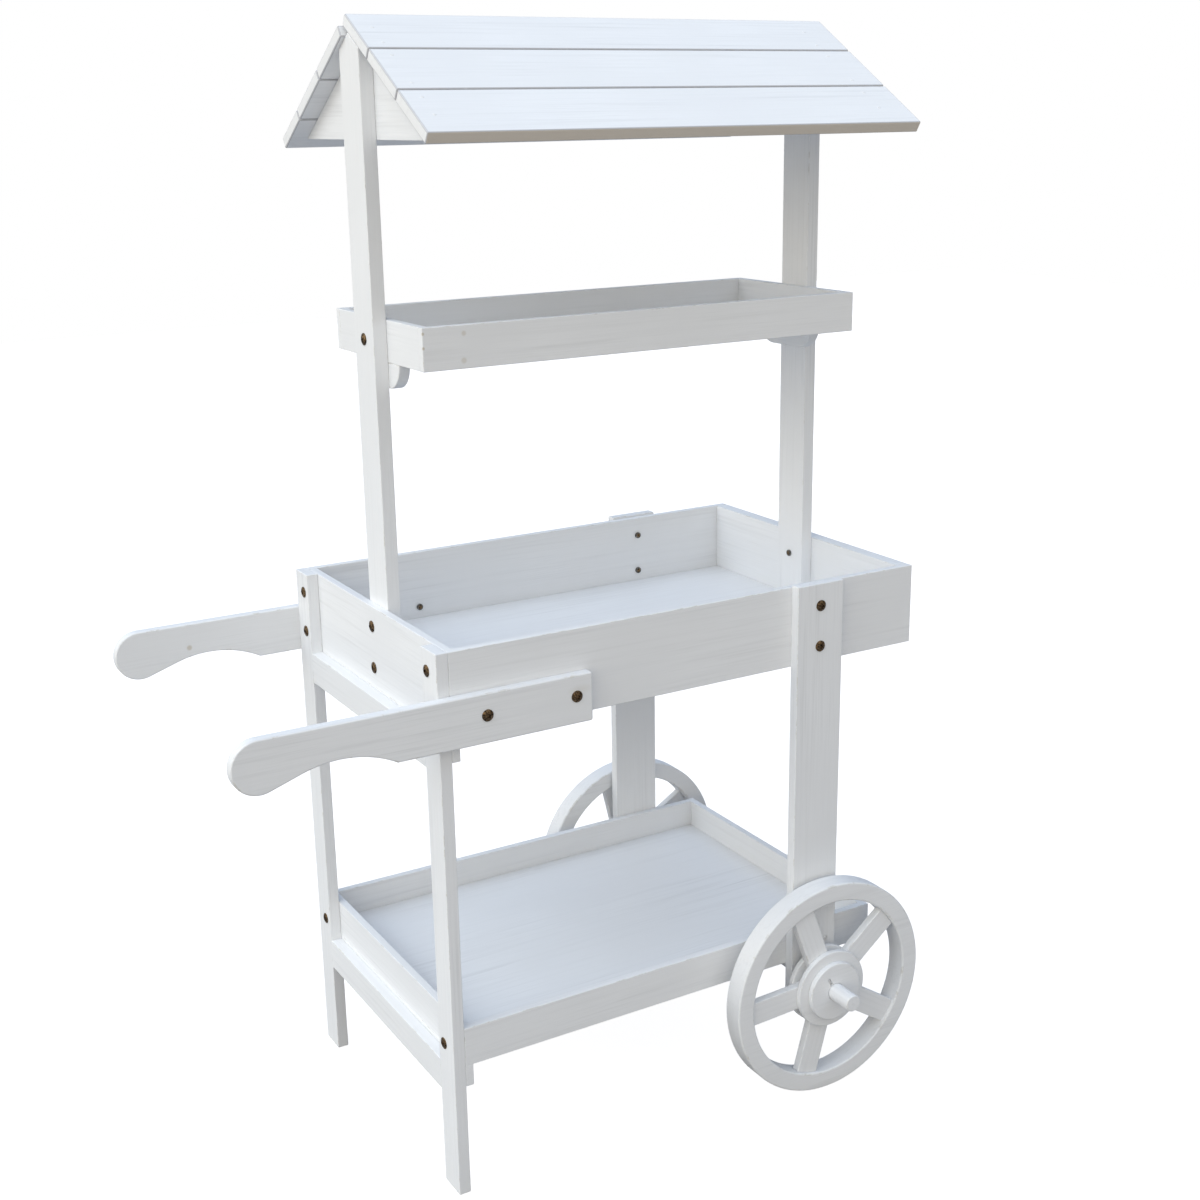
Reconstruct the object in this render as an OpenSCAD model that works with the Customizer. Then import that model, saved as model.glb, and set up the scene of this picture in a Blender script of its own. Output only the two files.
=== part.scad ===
// Push vending cart: painted wooden market cart with two trays, a shelf, a gable roof,
// two handles and two spoked wheels.
// X runs from the handle end to the wheel end, +Y is the left hand of the person pushing,
// Z is up from the ground. The origin is on the ground in the middle of the cart.

/* [Cart] */
// Overall height from the ground to the ridge
total_h = 1450; // [1430:5:1480]
// Overall length from the handle tips to the wheel end of the roof
total_l = 980; // [976:1:990]
// Outer width of the trays
tray_w = 456; // [440:2:470]
// How far the handles reach out beyond the handle-end legs
handle_reach = 258; // [250:1:266]

/* [Boards] */
// Thickness of the tray, shelf and gable boards
board_t = 11; // [10:1:13]
// Thickness of the main tray's wheel-end board
end_t = 20; // [16:1:22]
// Thickness of the tray floors
floor_t = 12; // [8:1:14]
// Width of a handle-end leg, seen from the handle end
leg_w = 42; // [38:1:46]
// Thickness of a handle-end leg and of the cross rails
leg_t = 16; // [15:1:19]
// Height of a cross rail
rail_h = 43; // [36:1:46]
// Height of the bearers behind the legs
bearer_h = 29; // [24:1:32]
// Width of a wheel leg, seen from the side
wheel_leg_w = 74; // [66:1:80]
// Thickness of a wheel leg and of a handle
side_t = 15; // [13:1:16]
// Width of a post
post_w = 58; // [50:1:60]
// Thickness of a post
post_t = 18; // [16:1:20]

/* [Trays] */
// Height of the main tray's underside above the ground
main_z = 622; // [616:1:626]
// Height of the main tray's sides
main_h = 110; // [104:1:116]
// Height of the lower tray's underside above the ground
lower_z = 183; // [180:1:188]
// Height of the lower tray's sides
lower_h = 53; // [50:1:56]
// How much shorter the lower tray is than the main tray
lower_short = 58; // [50:1:62]

/* [Shelf] */
// Height of the shelf's underside above the ground
shelf_z = 1045; // [1036:1:1054]
// Height of the shelf's sides
shelf_h = 52; // [46:1:56]
// Outer width of the shelf
shelf_w = 264; // [254:2:276]
// Thickness of a shelf bracket
bracket_t = 15; // [12:1:18]
// Length of the flat underside of a shelf bracket
bracket_flat = 58; // [50:1:66]
// Radius of the curved bracket ends
bracket_r = 32; // [28:1:34]

/* [Roof] */
// Slope of the roof from level
pitch = 31.6; // [30.5:0.1:33]
// Thickness of a roof plank
plank_t = 15; // [13:1:16]
// Gap between two roof planks
plank_gap = 2; // [1:0.5:3]
// Distance down the right slope from the inner ridge line to the eave
slope_l = 238; // [232:0.5:242]
// Distance down the left slope from the inner ridge line to the eave
left_slope_l = 253; // [246:0.5:256]
// Height of the lower edge of the gable boards
gable_z = 1307; // [1304:1:1312]

/* [Handles] */
// Height of the handles' lower edge above the ground
handle_z = 615; // [612:0.5:617]
// Height of a handle board
handle_h = 63; // [60:1:64]
// How far a handle reaches along the tray behind the legs' outer face
handle_hold = 202; // [196:1:210]
// Radius of the rounded grip end
grip_r = 33; // [32:0.5:34]
// Radius of the finger scoop under the grip
scoop_r = 143; // [136:1:152]
// Depth of the finger scoop
scoop_d = 19; // [14:1:22]

/* [Wheels] */
// Radius of a wheel
wheel_r = 156; // [152:1:160]
// Width of the rim in the plane of the wheel
rim_w = 26; // [22:1:28]
// Thickness of the rim along the axle
rim_t = 31; // [28:1:32]
// Gap between a wheel leg and the rim
rim_gap = 5; // [4.5:0.5:7]
// Width of a spoke
spoke_w = 34; // [30:1:36]
// Thickness of a spoke
spoke_t = 12; // [10:1:13]
// Radius of the hub discs
hub_r = 56; // [52:1:58]
// Thickness of the hub discs
hub_t = 8; // [7:0.5:9]
// Radius of the axle rod
axle_r = 12; // [10:0.5:13]
// Length of the axle rod
axle_l = 660; // [656:1:680]
// Radius of the collars that hold the wheels on
collar_r = 42; // [38:1:46]
// Thickness of the collars
collar_t = 8.5; // [7:0.5:10]
// Turn of the right wheel's spokes
spoke_turn = 38.6; // [0:0.2:71.8]
// Turn of the left wheel's spokes
left_spoke_turn = 31; // [0:0.5:71.5]

/* [Fasteners] */
// Radius of a connector bolt's head
bolt_head_r = 7.5; // [6.5:0.1:8.5]
// Height of a connector bolt's head
bolt_head_h = 3; // [2.5:0.1:3.5]
// Radius of the bolt shank
bolt_r = 3; // [2.6:0.1:3.3]
// Radius of a sleeve nut
nut_r = 4.6; // [4.2:0.1:5.4]
// Height of a sleeve nut
nut_h = 3; // [2.5:0.1:4]
// Distance of the tray bolts above and below the tray's middle
bolt_step = 28; // [24:1:32]

/* [Hidden] */
fine = 72;
clear = 0.1;        // radial clearance round a bolt, screw or nail
run_fit = 0.06;     // radial clearance of the running fits on the axle
gap = 0.3;          // gap between a wheel and what it turns against
leg_x = -total_l / 2 + handle_reach;
roof_x1 = total_l / 2;
roof_over = 2;      // roof verge beyond the tray at the wheel end
tray_x0 = leg_x + leg_t;
tray_x1 = roof_x1 - roof_over;
roof_x0 = leg_x + 27;
left_roof_x0 = roof_x0 - 6;
lower_x1 = tray_x1 - lower_short;
half_w = tray_w / 2;
post_x0 = tray_x0 + board_t;
post_x1 = tray_x1 - end_t;
shelf_x0 = post_x0 + post_t;
shelf_x1 = post_x1 - post_t;
main_top = main_z + main_h;
main_mid = main_z + main_h / 2;
lower_top = lower_z + lower_h;
shelf_top = shelf_z + shelf_h;
wheel_leg_mid = leg_x + 552;
axle_x = leg_x + 556;
wheel_leg_x0 = wheel_leg_mid - wheel_leg_w / 2;
wheel_leg_x1 = wheel_leg_mid + wheel_leg_w / 2;
wheel_leg_top = main_top + 3;
wheel_leg_below = 40;
axle_z = wheel_r;
bolt_in = 27;       // leg bolts' distance from the cart's side
leg_y = half_w - bolt_in;
ridge_rise = plank_t * (cos(pitch) + 1 / (2 * cos(pitch)));
ridge_in = total_h - ridge_rise;          // inner ridge line, where the slopes' undersides meet
lap_up = plank_t / sin(2 * pitch);        // the lapping plank's reach past the ridge line
lap_down = plank_t / tan(2 * pitch) + 0.2;
right_cuts = [60.5, 149];                 // plank joints down the right slope
left_cuts = [96, 184];                    // plank joints down the left slope
gable_x0 = shelf_x0;
gable_x1 = shelf_x1 - board_t;
right_nails = [14, 48, 76, 136, 166, 202];
left_nails = [24, 82, 112, 170, 201];
nail_r = 1;
nail_head_r = 2.2;
nail_head_h = 0.5;
nail_deep = 8;
bolt_hole = bolt_r + clear;
socket_r = 2.9;
socket_d = 1.8;
shelf_bolt_z = shelf_z + 27;
leg_bolt_low_z = lower_z + 25;
handle_bolt_x = [leg_x + 57.5, leg_x + 179.5];
handle_mid_z = handle_z + handle_h / 2 + 4;
screw_r = 2;
screw_head_r = 4;
screw_head_h = 1.5;
screw_l = 24;
screw_tip = 0.5;    // space past the end of a screw
screw_dx = 20;
lower_mid_z = lower_z + 30;
rim_y0 = half_w + side_t + rim_gap;
rim_y1 = rim_y0 + rim_t;
hub_front_y1 = rim_y1 + 3;
hub_front_y0 = hub_front_y1 - hub_t;
spoke_y0 = hub_front_y0 - spoke_t;
hub_back_y0 = spoke_y0 - hub_t;
collar_y0 = hub_front_y1 + gap;
spacer_y0 = half_w + side_t;
spacer_y1 = hub_back_y0 - gap;
spacer_r = 19;
rim_in = wheel_r - rim_w;
spoke_in = spoke_w / 2 / tan(36) + 0.2;
axle_bevel = 1.5;
grip_mid = leg_x - handle_reach + grip_r;
scoop_mid = leg_x - 130.5;
EPS = 0.01;

// ---------- shared shapes ----------

// A straight board between two opposite corners
module board(low, high) {
  translate(low) cube(high - low);
}

// The same thing on the other side of the cart
module left() {
  mirror([0, 1, 0]) children();
}

// A round rod or hole along +X from a point
module rod_x(at, length, radius) {
  translate(at) rotate([0, 90, 0]) cylinder(h = length, r = radius, $fn = fine);
}

// A round rod or hole along +Y from a point
module rod_y(at, length, radius) {
  translate(at) rotate([-90, 0, 0]) cylinder(h = length, r = radius, $fn = fine);
}

// Connector bolt with its head on the plane z = 0 and its shank along +Z
module bolt(length) {
  difference() {
    union() {
      cylinder(h = length, r = bolt_r, $fn = fine);
      translate([0, 0, -bolt_head_h / 2]) cylinder(h = bolt_head_h / 2, r = bolt_head_r, $fn = fine);
      translate([0, 0, -bolt_head_h])
        cylinder(h = bolt_head_h / 2, r1 = bolt_head_r - 1.6, r2 = bolt_head_r, $fn = fine);
    }
    translate([0, 0, -bolt_head_h - 1]) cylinder(h = 1 + socket_d, r = socket_r, $fn = 6);
  }
}

// Sleeve nut round the end of a bolt, standing up from the plane z = 0
module nut() {
  difference() {
    cylinder(h = nut_h, r = nut_r, $fn = fine);
    translate([0, 0, -1]) cylinder(h = nut_h + 2, r = bolt_r + clear / 2, $fn = fine);
  }
}

// ---------- where the bolts go ----------

module main_leg_bolt_spots(x) {
  for (y = [-leg_y, leg_y], z = [main_mid - bolt_step, main_mid + bolt_step])
    translate([x, y, z]) children();
}

module lower_leg_bolt_spots(x) {
  for (y = [-leg_y, leg_y]) translate([x, y, leg_bolt_low_z]) children();
}

module post_bolt_spots(x) {
  for (z = [main_mid - bolt_step, main_mid + bolt_step]) translate([x, 0, z]) children();
}

// Bolt holes through legs and the main tray's end boards
module end_holes(x, length) {
  main_leg_bolt_spots(x) rod_x([0, 0, 0], length, bolt_hole);
}

module post_holes(x, length) {
  post_bolt_spots(x) rod_x([0, 0, 0], length, bolt_hole);
}

module lower_end_holes(x, length) {
  lower_leg_bolt_spots(x) rod_x([0, 0, 0], length, bolt_hole);
}

// Bolt holes through the right side: handle and wheel leg, along Y
module handle_holes(y, length) {
  for (x = handle_bolt_x) rod_y([x, y, handle_mid_z], length, bolt_hole);
}

module wheel_leg_holes(y, length) {
  for (z = [main_mid - bolt_step, main_mid + bolt_step])
    rod_y([wheel_leg_mid, y, z], length, bolt_hole);
}

// Holes for the screws driven through a wheel leg into the lower tray, heads sunk flush
module screw_holes() {
  for (dx = [-screw_dx, screw_dx]) {
    rod_y([wheel_leg_mid + dx, -half_w - side_t - 1, lower_mid_z], screw_l + 1, screw_r + clear);
    rod_y([wheel_leg_mid + dx, -half_w - side_t - 1, lower_mid_z], screw_head_h + 1, screw_head_r + clear);
  }
}

// ---------- legs ----------

module leg_plain() {
  difference() {
    board([leg_x, -half_w, 0], [tray_x0, -half_w + leg_w, main_top]);
    end_holes(leg_x - 1, leg_t + 2);
    lower_end_holes(leg_x - 1, leg_t + 2);
  }
}

module leg_right() {
  color("white") leg_plain();
}

module leg_left() {
  color("white") left() leg_plain();
}

module rail(top) {
  board([leg_x, -half_w + leg_w, top - rail_h], [tray_x0, half_w - leg_w, top]);
}

module leg_rail_upper() {
  color("white") rail(main_z - 2);
}

module leg_rail_lower() {
  color("white") rail(lower_z - 5);
}

module main_tray_bearer() {
  color("white") board([tray_x0, -half_w, main_z - bearer_h], [tray_x0 + board_t, half_w, main_z]);
}

module lower_tray_bearer() {
  color("white")
    board([tray_x0, -half_w, lower_z - bearer_h], [tray_x0 + board_t, half_w, lower_z]);
}

module wheel_leg_plain() {
  difference() {
    board([wheel_leg_x0, -half_w - side_t, axle_z - wheel_leg_below],
          [wheel_leg_x1, -half_w, wheel_leg_top]);
    rod_y([axle_x, -half_w - side_t - 1, axle_z], side_t + 2, axle_r + run_fit);
    wheel_leg_holes(-half_w - side_t - 1, side_t + 2);
    screw_holes();
  }
}

module wheel_leg_right() {
  color("white") wheel_leg_plain();
}

module wheel_leg_left() {
  color("white") left() wheel_leg_plain();
}

// ---------- trays ----------

module main_side_plain() {
  difference() {
    board([tray_x0, -half_w, main_z], [tray_x1, -half_w + board_t, main_top]);
    handle_holes(-half_w - 1, board_t + 2);
    wheel_leg_holes(-half_w - 1, board_t + 2);
  }
}

module main_tray_side_right() {
  color("white") main_side_plain();
}

module main_tray_side_left() {
  color("white") left() main_side_plain();
}

module main_tray_end_handle() {
  color("white") difference() {
    board([tray_x0, -half_w + board_t, main_z], [post_x0, half_w - board_t, main_top]);
    end_holes(tray_x0 - 1, board_t + 2);
    post_holes(tray_x0 - 1, board_t + 2);
  }
}

module main_tray_end_wheel() {
  color("white") difference() {
    board([post_x1, -half_w + board_t, main_z], [tray_x1, half_w - board_t, main_top]);
    post_holes(post_x1 - 1, end_t + 2);
  }
}

// The floor is notched round the feet of the posts
module main_tray_floor() {
  color("white") difference() {
    board([post_x0, -half_w + board_t, main_z], [post_x1, half_w - board_t, main_z + floor_t]);
    for (x = [post_x0 - 1, shelf_x1])
      board([x, -post_w / 2, main_z - 1], [x + post_t + 1, post_w / 2, main_z + floor_t + 1]);
  }
}

module lower_side_plain() {
  difference() {
    board([tray_x0, -half_w, lower_z], [lower_x1, -half_w + board_t, lower_top]);
    screw_holes();
  }
}

module lower_tray_side_right() {
  color("white") lower_side_plain();
}

module lower_tray_side_left() {
  color("white") left() lower_side_plain();
}

module lower_tray_end_handle() {
  color("white") difference() {
    board([tray_x0, -half_w + board_t, lower_z], [post_x0, half_w - board_t, lower_top]);
    lower_end_holes(tray_x0 - 1, board_t + 2);
  }
}

module lower_tray_end_wheel() {
  color("white") board([lower_x1 - board_t, -half_w + board_t, lower_z],
                       [lower_x1, half_w - board_t, lower_top]);
}

module lower_tray_floor() {
  color("white") board([post_x0, -half_w + board_t, lower_z],
                       [lower_x1 - board_t, half_w - board_t, lower_z + floor_t]);
}

// ---------- shelf ----------

module shelf_side_right() {
  color("white") board([shelf_x0, -shelf_w / 2, shelf_z], [shelf_x1, -shelf_w / 2 + board_t, shelf_top]);
}

module shelf_side_left() {
  color("white") left()
    board([shelf_x0, -shelf_w / 2, shelf_z], [shelf_x1, -shelf_w / 2 + board_t, shelf_top]);
}

module shelf_end(x) {
  difference() {
    board([x, -shelf_w / 2 + board_t, shelf_z], [x + board_t, shelf_w / 2 - board_t, shelf_top]);
    rod_x([x - 1, 0, shelf_bolt_z], board_t + 2, bolt_hole);
  }
}

module shelf_end_handle() {
  color("white") shelf_end(shelf_x0);
}

module shelf_end_wheel() {
  color("white") shelf_end(shelf_x1 - board_t);
}

module shelf_floor() {
  color("white") board([shelf_x0 + board_t, -shelf_w / 2 + board_t, shelf_z],
                       [shelf_x1 - board_t, shelf_w / 2 - board_t, shelf_z + floor_t]);
}

module bracket(x) {
  intersection() {
    union() {
      board([x, -bracket_flat / 2, shelf_z - bracket_r], [x + bracket_t, bracket_flat / 2, shelf_z]);
      for (y = [-bracket_flat / 2, bracket_flat / 2]) rod_x([x, y, shelf_z], bracket_t, bracket_r);
    }
    board([x, -shelf_w, shelf_z - 2 * bracket_r], [x + bracket_t, shelf_w, shelf_z]);
  }
}

module shelf_bracket_handle() {
  color("white") bracket(shelf_x0);
}

module shelf_bracket_wheel() {
  color("white") bracket(shelf_x1 - bracket_t);
}

// ---------- posts and gables ----------

// Everything above the undersides of the two slopes
module above_slopes(x0, x1) {
  for (s = [0, 1]) mirror([0, s, 0])
    translate([0, 0, ridge_in]) rotate([pitch, 0, 0])
      board([x0, -2 * slope_l, 0], [x1, slope_l, slope_l]);
}

module post(x) {
  difference() {
    board([x, -post_w / 2, main_z], [x + post_t, post_w / 2, ridge_in + 1]);
    above_slopes(x - 1, x + post_t + 1);
    post_holes(x - 1, post_t + 2);
    rod_x([x - 1, 0, shelf_bolt_z], post_t + 2, bolt_hole);
  }
}

module post_handle() {
  color("white") post(post_x0);
}

module post_wheel() {
  color("white") post(post_x1 - post_t);
}

module gable(x) {
  half = (ridge_in - gable_z) / tan(pitch);
  difference() {
    translate([x, 0, 0]) rotate([90, 0, 90]) linear_extrude(height = board_t)
      polygon([[-half, gable_z], [half, gable_z], [0, ridge_in]]);
    roof_nail_holes(x + board_t / 2);
  }
}

module gable_board_handle() {
  color("white") gable(gable_x0);
}

module gable_board_wheel() {
  color("white") gable(gable_x1);
}

// ---------- roof ----------

// Puts a thing on the right slope's underside: -Y runs down the slope, Z out of the roof
module on_slope() {
  translate([0, 0, ridge_in]) rotate([pitch, 0, 0]) children();
}

module slope_nail_holes(x, downs) {
  for (u = downs) translate([x, -u, -nail_deep])
    cylinder(h = nail_deep + plank_t + 1, r = nail_r + clear, $fn = fine / 2);
}

module roof_nail_holes(x) {
  on_slope() slope_nail_holes(x, right_nails);
  left() on_slope() slope_nail_holes(x, left_nails);
}

module slope_nails(x, downs) {
  for (u = downs) translate([x, -u, -nail_deep]) {
    cylinder(h = nail_deep + plank_t + EPS, r = nail_r, $fn = fine / 2);
    translate([0, 0, nail_deep + plank_t])
      cylinder(h = nail_head_h, r = nail_head_r, $fn = fine / 2);
  }
}

module roof_nails() {
  color("silver") for (x = [gable_x0 + board_t / 2, gable_x1 + board_t / 2]) {
    on_slope() slope_nails(x, right_nails);
    left() on_slope() slope_nails(x, left_nails);
  }
}

module plank(x0, u0, u1, downs) {
  difference() {
    on_slope() board([x0, -u1, 0], [roof_x1, -u0, plank_t]);
    for (x = [gable_x0 + board_t / 2, gable_x1 + board_t / 2])
      on_slope() slope_nail_holes(x, downs);
  }
}

module roof_plank_right_ridge() {
  color("white") plank(roof_x0, -lap_up, right_cuts[0], [right_nails[0], right_nails[1]]);
}

module roof_plank_right_middle() {
  color("white") plank(roof_x0, right_cuts[0] + plank_gap, right_cuts[1], [right_nails[2], right_nails[3]]);
}

module roof_plank_right_eave() {
  color("white") plank(roof_x0, right_cuts[1] + plank_gap, slope_l, [right_nails[4], right_nails[5]]);
}

module roof_plank_left_ridge() {
  color("white") left() plank(left_roof_x0, lap_down, left_cuts[0], [left_nails[0], left_nails[1]]);
}

module roof_plank_left_middle() {
  color("white")
    left() plank(left_roof_x0, left_cuts[0] + plank_gap, left_cuts[1], [left_nails[2], left_nails[3]]);
}

module roof_plank_left_eave() {
  color("white") left() plank(left_roof_x0, left_cuts[1] + plank_gap, left_slope_l, [left_nails[4]]);
}

// ---------- handles ----------

module handle_plain() {
  y0 = -half_w - side_t;
  difference() {
    union() {
      board([grip_mid, y0, handle_z], [leg_x + handle_hold, -half_w, handle_z + handle_h]);
      rod_y([grip_mid, y0, handle_z + handle_h - grip_r], side_t, grip_r);
    }
    rod_y([scoop_mid, y0 - 1, handle_z + scoop_d - scoop_r], side_t + 2, scoop_r);
    handle_holes(y0 - 1, side_t + 2);
  }
}

module handle_right() {
  color("white") handle_plain();
}

module handle_left() {
  color("white") left() handle_plain();
}

// ---------- bolts, nuts and screws ----------

module leg_bolts() {
  color("saddlebrown") {
    main_leg_bolt_spots(leg_x) rotate([0, 90, 0]) bolt(leg_t + board_t + nut_h - 0.5);
    lower_leg_bolt_spots(leg_x) rotate([0, 90, 0]) bolt(leg_t + board_t + nut_h - 0.5);
  }
}

module post_bolts() {
  color("saddlebrown") {
    post_bolt_spots(tray_x0) rotate([0, 90, 0]) bolt(board_t + post_t + nut_h - 0.5);
    post_bolt_spots(tray_x1) rotate([0, -90, 0]) bolt(end_t + post_t + nut_h - 0.5);
  }
}

module shelf_bolts() {
  color("saddlebrown") {
    translate([post_x0, 0, shelf_bolt_z]) rotate([0, 90, 0]) bolt(board_t + post_t + nut_h - 0.5);
    translate([post_x1, 0, shelf_bolt_z]) rotate([0, -90, 0]) bolt(board_t + post_t + nut_h - 0.5);
  }
}

module handle_bolts() {
  color("saddlebrown") for (x = handle_bolt_x, s = [-1, 1])
    translate([x, s * (half_w + side_t), handle_mid_z]) rotate([s * 90, 0, 0])
      bolt(board_t + side_t + nut_h - 0.5);
}

module wheel_leg_bolts() {
  color("saddlebrown") for (z = [main_mid - bolt_step, main_mid + bolt_step], s = [-1, 1])
    translate([wheel_leg_mid, s * (half_w + side_t), z]) rotate([s * 90, 0, 0])
      bolt(board_t + side_t + nut_h - 0.5);
}

module sleeve_nuts() {
  color("saddlebrown") {
    main_leg_bolt_spots(post_x0) rotate([0, 90, 0]) nut();
    lower_leg_bolt_spots(post_x0) rotate([0, 90, 0]) nut();
    post_bolt_spots(shelf_x0) rotate([0, 90, 0]) nut();
    post_bolt_spots(shelf_x1) rotate([0, -90, 0]) nut();
    translate([shelf_x0 + board_t, 0, shelf_bolt_z]) rotate([0, 90, 0]) nut();
    translate([shelf_x1 - board_t, 0, shelf_bolt_z]) rotate([0, -90, 0]) nut();
    for (s = [-1, 1]) {
      for (x = handle_bolt_x)
        translate([x, s * (half_w - board_t), handle_mid_z]) rotate([s * 90, 0, 0]) nut();
      for (z = [main_mid - bolt_step, main_mid + bolt_step])
        translate([wheel_leg_mid, s * (half_w - board_t), z]) rotate([s * 90, 0, 0]) nut();
    }
  }
}

module lower_tray_screws() {
  color("silver") for (s = [0, 1], dx = [-screw_dx, screw_dx]) mirror([0, s, 0]) {
    rod_y([wheel_leg_mid + dx, -half_w - side_t, lower_mid_z], screw_l - screw_tip, screw_r);
    rod_y([wheel_leg_mid + dx, -half_w - side_t, lower_mid_z], screw_head_h, screw_head_r);
  }
}

// ---------- axle and wheels ----------

module axle() {
  color("white") {
    rod_y([axle_x, -axle_l / 2 + axle_bevel, axle_z], axle_l - 2 * axle_bevel, axle_r);
    for (s = [0, 1]) mirror([0, s, 0])
      translate([axle_x, axle_l / 2 - axle_bevel, axle_z]) rotate([-90, 0, 0])
        cylinder(h = axle_bevel, r1 = axle_r, r2 = axle_r - axle_bevel, $fn = fine);
  }
}

// A flat ring round the axle on the right side
module axle_ring(y0, y1, outer, inner) {
  difference() {
    rod_y([axle_x, -y1, axle_z], y1 - y0, outer);
    rod_y([axle_x, -y1 - 1, axle_z], y1 - y0 + 2, inner);
  }
}

module axle_spacers() {
  color("white") for (s = [0, 1]) mirror([0, s, 0])
    axle_ring(spacer_y0, spacer_y1, spacer_r, axle_r + run_fit);
}

// The pegging slot lies beside the axle in the collar's face
module axle_collars() {
  color("white") for (s = [0, 1]) mirror([0, s, 0]) difference() {
    axle_ring(collar_y0, collar_y0 + collar_t, collar_r, axle_r + run_fit);
    translate([axle_x, -collar_y0 - collar_t, axle_z]) rotate([0, -30, 0])
      for (r = [15.5, 17.5, 19.5, 21.5, 23.5]) rod_y([0, -1, r], 6, 2.2);
  }
}

module rim() {
  axle_ring(rim_y0, rim_y1, wheel_r, rim_in);
}

module spokes(turn) {
  intersection() {
    translate([axle_x, 0, axle_z]) rotate([0, -turn, 0])
      for (k = [0:4]) rotate([0, 72 * k, 0])
        board([spoke_in, -spoke_y0 - spoke_t, -spoke_w / 2], [wheel_r, -spoke_y0, spoke_w / 2]);
    rod_y([axle_x, -rim_y1, axle_z], rim_t, rim_in);
  }
}

module hub_front() {
  axle_ring(hub_front_y0, hub_front_y1, hub_r, axle_r + run_fit);
}

module hub_back() {
  axle_ring(hub_back_y0, spoke_y0, hub_r, axle_r + run_fit);
}

module wheel_right_rim() {
  color("white") rim();
}

module wheel_right_spokes() {
  color("white") spokes(spoke_turn);
}

module wheel_right_hub_front() {
  color("white") hub_front();
}

module wheel_right_hub_back() {
  color("white") hub_back();
}

module wheel_left_rim() {
  color("white") left() rim();
}

module wheel_left_spokes() {
  color("white") left() spokes(left_spoke_turn);
}

module wheel_left_hub_front() {
  color("white") left() hub_front();
}

module wheel_left_hub_back() {
  color("white") left() hub_back();
}

leg_right();
leg_left();
leg_rail_upper();
leg_rail_lower();
main_tray_bearer();
lower_tray_bearer();
wheel_leg_right();
wheel_leg_left();
main_tray_side_right();
main_tray_side_left();
main_tray_end_handle();
main_tray_end_wheel();
main_tray_floor();
lower_tray_side_right();
lower_tray_side_left();
lower_tray_end_handle();
lower_tray_end_wheel();
lower_tray_floor();
shelf_side_right();
shelf_side_left();
shelf_end_handle();
shelf_end_wheel();
shelf_floor();
shelf_bracket_handle();
shelf_bracket_wheel();
post_handle();
post_wheel();
gable_board_handle();
gable_board_wheel();
roof_plank_right_ridge();
roof_plank_right_middle();
roof_plank_right_eave();
roof_plank_left_ridge();
roof_plank_left_middle();
roof_plank_left_eave();
roof_nails();
handle_right();
handle_left();
leg_bolts();
post_bolts();
shelf_bolts();
handle_bolts();
wheel_leg_bolts();
sleeve_nuts();
lower_tray_screws();
axle();
axle_spacers();
axle_collars();
wheel_right_rim();
wheel_right_spokes();
wheel_right_hub_front();
wheel_right_hub_back();
wheel_left_rim();
wheel_left_spokes();
wheel_left_hub_front();
wheel_left_hub_back();
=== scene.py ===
import math
import random

import bmesh
import bpy
from mathutils import Matrix, Vector


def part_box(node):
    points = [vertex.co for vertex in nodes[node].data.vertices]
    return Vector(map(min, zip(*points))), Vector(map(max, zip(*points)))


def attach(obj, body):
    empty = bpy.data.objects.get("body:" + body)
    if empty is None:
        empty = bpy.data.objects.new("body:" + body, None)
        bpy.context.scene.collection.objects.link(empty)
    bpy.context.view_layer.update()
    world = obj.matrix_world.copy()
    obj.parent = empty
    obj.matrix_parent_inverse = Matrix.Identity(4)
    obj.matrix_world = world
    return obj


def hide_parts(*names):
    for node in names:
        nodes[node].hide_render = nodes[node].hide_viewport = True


# Push vending cart, painted white: boards, turned wheels, bronze bolts.
# X runs from the handles to the wheels, the person pushing has +Y on the left.

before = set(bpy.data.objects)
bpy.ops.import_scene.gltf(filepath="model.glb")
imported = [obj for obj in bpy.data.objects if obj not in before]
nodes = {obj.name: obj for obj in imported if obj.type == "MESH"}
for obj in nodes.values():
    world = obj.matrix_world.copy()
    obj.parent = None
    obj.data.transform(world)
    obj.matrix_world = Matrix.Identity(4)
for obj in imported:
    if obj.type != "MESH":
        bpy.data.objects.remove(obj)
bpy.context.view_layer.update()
dice = random.Random(11)
mm = 0.001
meshLook = {
    "weld": 0.01 * mm,            # points closer than this are one point
    "turnedWeld": 0.002 * mm,
    "flat": 0.5,                  # degrees below which two CAD facets are one face
    "woodCrease": 48,             # degrees above which an edge is drawn sharp
    "metalCrease": 32,
    "evenWeight": 100,
}
print("frame loaded:", len(nodes), "nodes")


# ---- small helpers ----

def linkObject(name, mesh):
    piece = bpy.data.objects.new(name, mesh)
    bpy.context.scene.collection.objects.link(piece)
    return piece


def settle(piece):
    # bakes the modifiers into the mesh, then drops them
    bpy.context.view_layer.update()
    ready = piece.evaluated_get(bpy.context.evaluated_depsgraph_get())
    mesh = bpy.data.meshes.new_from_object(ready, preserve_all_data_layers=True,
                                           depsgraph=bpy.context.evaluated_depsgraph_get())
    piece.modifiers.clear()
    piece.data = mesh
    mesh.name = piece.name
    return piece


def finishWood(piece, node, body, paint):
    # soft arris shading, the paint, and the place in the frame
    piece.data.materials.clear()
    piece.data.materials.append(paint)
    for face in piece.data.polygons:
        face.use_smooth = True
    piece.data.set_sharp_from_angle(angle=math.radians(meshLook["woodCrease"]))
    even = piece.modifiers.new("even", "WEIGHTED_NORMAL")
    even.keep_sharp = True
    even.weight = meshLook["evenWeight"]
    settle(piece)
    addTone(piece.data)
    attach(piece, body)
    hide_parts(node)
    return piece


def addTone(mesh):
    # one number for the whole board, so that no two boards carry the same grain
    tone = mesh.attributes.new("boardTone", "FLOAT", "POINT")
    value = dice.random()
    tone.data.foreach_set("value", [value] * len(mesh.vertices))


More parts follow.
